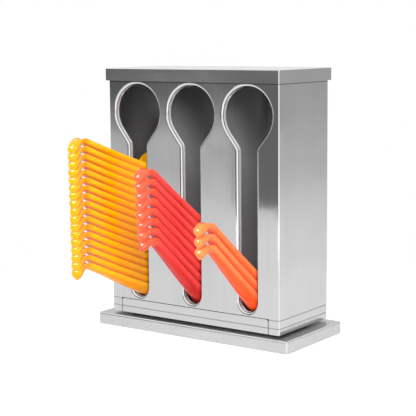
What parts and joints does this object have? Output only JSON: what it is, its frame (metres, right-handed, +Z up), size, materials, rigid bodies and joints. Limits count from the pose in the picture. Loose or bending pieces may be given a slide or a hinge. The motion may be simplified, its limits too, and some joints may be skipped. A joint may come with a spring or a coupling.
{
  "type": "cutlery holder",
  "caption": "Counter-top sheet steel holder for hooked plastic spoons, with keyhole openings in its front, a lift-off lid and a drip tray.",
  "frame": {"origin": "centre of the plinth's footprint, on the surface that the holder stands on", "axes": "+X to the right along the front as seen by the user, +Y from the front to the back, +Z up"},
  "size_m": [0.2826, 0.2368, 0.3238],
  "materials": {
    "front_steel": "brushed stainless sheet, satin",
    "side_steel": "brushed stainless sheet, satin",
    "lid_steel": "brushed stainless sheet, satin",
    "plinth_steel": "brushed stainless sheet, satin",
    "tray_steel": "brushed stainless sheet, satin",
    "inner_steel": "plain mill finish",
    "yellow_plastic": "moulded, glossy",
    "red_plastic": "moulded, glossy",
    "orange_plastic": "moulded, glossy"
  },
  "bodies": {
    "holder": {"base_plinth": "plinth_steel", "plinth_bottom_plate": "inner_steel", "riser_bars": "inner_steel", "base_studs": "inner_steel", "base_nuts": "inner_steel", "floor_pan": "inner_steel", "front_panel": "front_steel", "left_side_panel": "side_steel", "right_side_panel": "side_steel", "back_panel": "side_steel", "left_partition": "inner_steel", "right_partition": "inner_steel", "perforated_floor": "inner_steel"},
    "lid": {"lid_cap": "lid_steel", "lid_locating_strips": "inner_steel"},
    "drip_tray": {"drip_tray_pan": "tray_steel", "drip_tray_front": "tray_steel"},
    "yellow_pile": {"yellow_spoon_01": "yellow_plastic", "yellow_spoon_02": "yellow_plastic", "yellow_spoon_03": "yellow_plastic", "yellow_spoon_04": "yellow_plastic", "yellow_spoon_05": "yellow_plastic", "yellow_spoon_06": "yellow_plastic", "yellow_spoon_07": "yellow_plastic", "yellow_spoon_08": "yellow_plastic", "yellow_spoon_09": "yellow_plastic", "yellow_spoon_10": "yellow_plastic", "yellow_spoon_11": "yellow_plastic", "yellow_spoon_12": "yellow_plastic", "yellow_spoon_13": "yellow_plastic", "yellow_spoon_14": "yellow_plastic", "yellow_spoon_15": "yellow_plastic", "yellow_spoon_16": "yellow_plastic"},
    "yellow_top_spoon": {"yellow_spoon_17": "yellow_plastic"},
    "red_pile": {"red_spoon_01": "red_plastic", "red_spoon_02": "red_plastic", "red_spoon_03": "red_plastic", "red_spoon_04": "red_plastic", "red_spoon_05": "red_plastic", "red_spoon_06": "red_plastic", "red_spoon_07": "red_plastic"},
    "red_top_spoon": {"red_spoon_08": "red_plastic"},
    "orange_pile": {"orange_spoon_01": "orange_plastic", "orange_spoon_02": "orange_plastic"},
    "orange_top_spoon": {"orange_spoon_03": "orange_plastic"}
  },
  "joints": [
    {"name": "lid_lift", "type": "slide", "parent": "holder", "child": "lid", "axis": [0, 0, 1], "range_m": [0, 0.06]},
    {"name": "tray_slide", "type": "slide", "parent": "holder", "child": "drip_tray", "axis": [0, -1, 0], "range_m": [0, 0.085]},
    {"name": "yellow_pile_lift", "type": "slide", "parent": "holder", "child": "yellow_pile", "axis": [0, 0, 1], "range_m": [0, 0.03]},
    {"name": "yellow_top_lift", "type": "slide", "parent": "yellow_pile", "child": "yellow_top_spoon", "axis": [0, 0, 1], "range_m": [0, 0.04]},
    {"name": "red_pile_lift", "type": "slide", "parent": "holder", "child": "red_pile", "axis": [0, 0, 1], "range_m": [0, 0.05]},
    {"name": "red_top_lift", "type": "slide", "parent": "red_pile", "child": "red_top_spoon", "axis": [0, 0, 1], "range_m": [0, 0.05]},
    {"name": "orange_pile_lift", "type": "slide", "parent": "holder", "child": "orange_pile", "axis": [0, 0, 1], "range_m": [0, 0.07]},
    {"name": "orange_top_lift", "type": "slide", "parent": "orange_pile", "child": "orange_top_spoon", "axis": [0, 0, 1], "range_m": [0, 0.08]}
  ]
}
